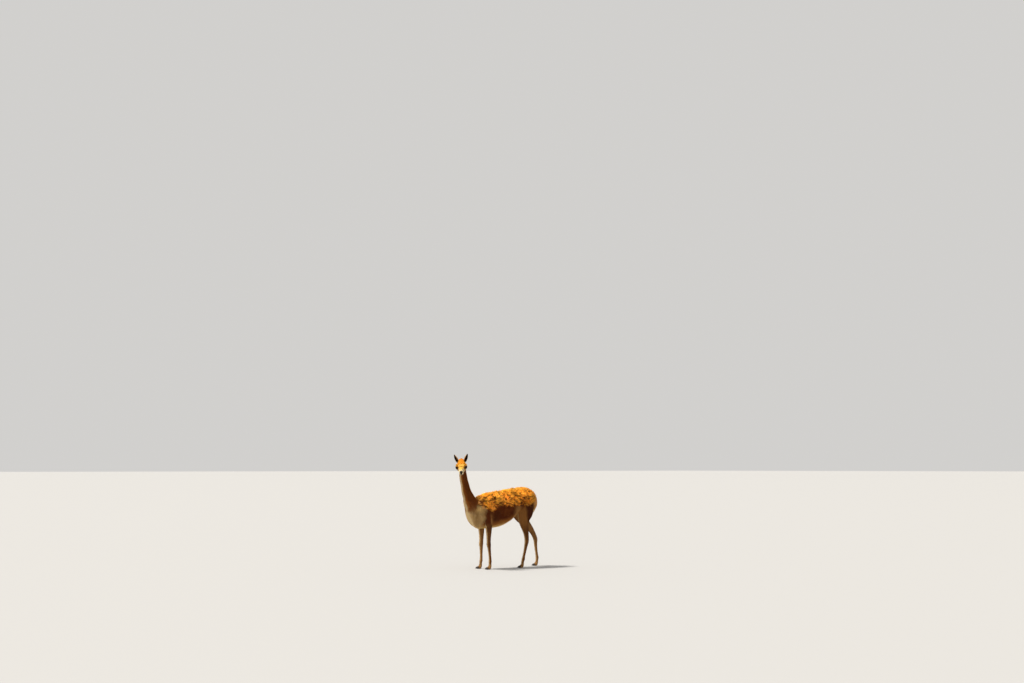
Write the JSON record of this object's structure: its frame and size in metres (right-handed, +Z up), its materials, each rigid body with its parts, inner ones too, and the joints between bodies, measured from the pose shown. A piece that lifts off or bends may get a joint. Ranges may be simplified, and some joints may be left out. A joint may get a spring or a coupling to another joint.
{
  "type": "vicuna",
  "caption": "Life-size standing vicuna with a woolly back, long upright neck, turned head, slender legs and padded toes.",
  "frame": {"origin": "on the floor, under the middle of the outline seen from above", "axes": "+Z up, the animal's front towards -Y, its left side towards +X"},
  "size_m": [0.3434, 1.3492, 1.3455],
  "materials": {
    "fleece": "dense golden orange wool in soft clumps",
    "neck_coat": "short soft coat, cream in front and fawn behind",
    "face_coat": "short velvety coat",
    "leg_coat": "very short smooth coat",
    "nail": "dull dark horn",
    "eye": "wet gloss, nearly black"
  },
  "bodies": {
    "root": {"torso": "fleece", "neck": "neck_coat", "head": "face_coat", "ear_left": "face_coat", "ear_right": "face_coat", "eye_left": "eye", "eye_right": "eye", "tail": "fleece", "foreleg_left_upper": "leg_coat", "foreleg_left_lower": "leg_coat", "foreleg_left_foot": "leg_coat", "foreleg_left_nail_a": "nail", "foreleg_left_nail_b": "nail", "foreleg_right_upper": "leg_coat", "foreleg_right_lower": "leg_coat", "foreleg_right_foot": "leg_coat", "foreleg_right_nail_a": "nail", "foreleg_right_nail_b": "nail", "hindleg_left_upper": "leg_coat", "hindleg_left_lower": "leg_coat", "hindleg_left_foot": "leg_coat", "hindleg_left_nail_a": "nail", "hindleg_left_nail_b": "nail", "hindleg_right_upper": "leg_coat", "hindleg_right_lower": "leg_coat", "hindleg_right_foot": "leg_coat", "hindleg_right_nail_a": "nail", "hindleg_right_nail_b": "nail"}
  },
  "joints": []
}
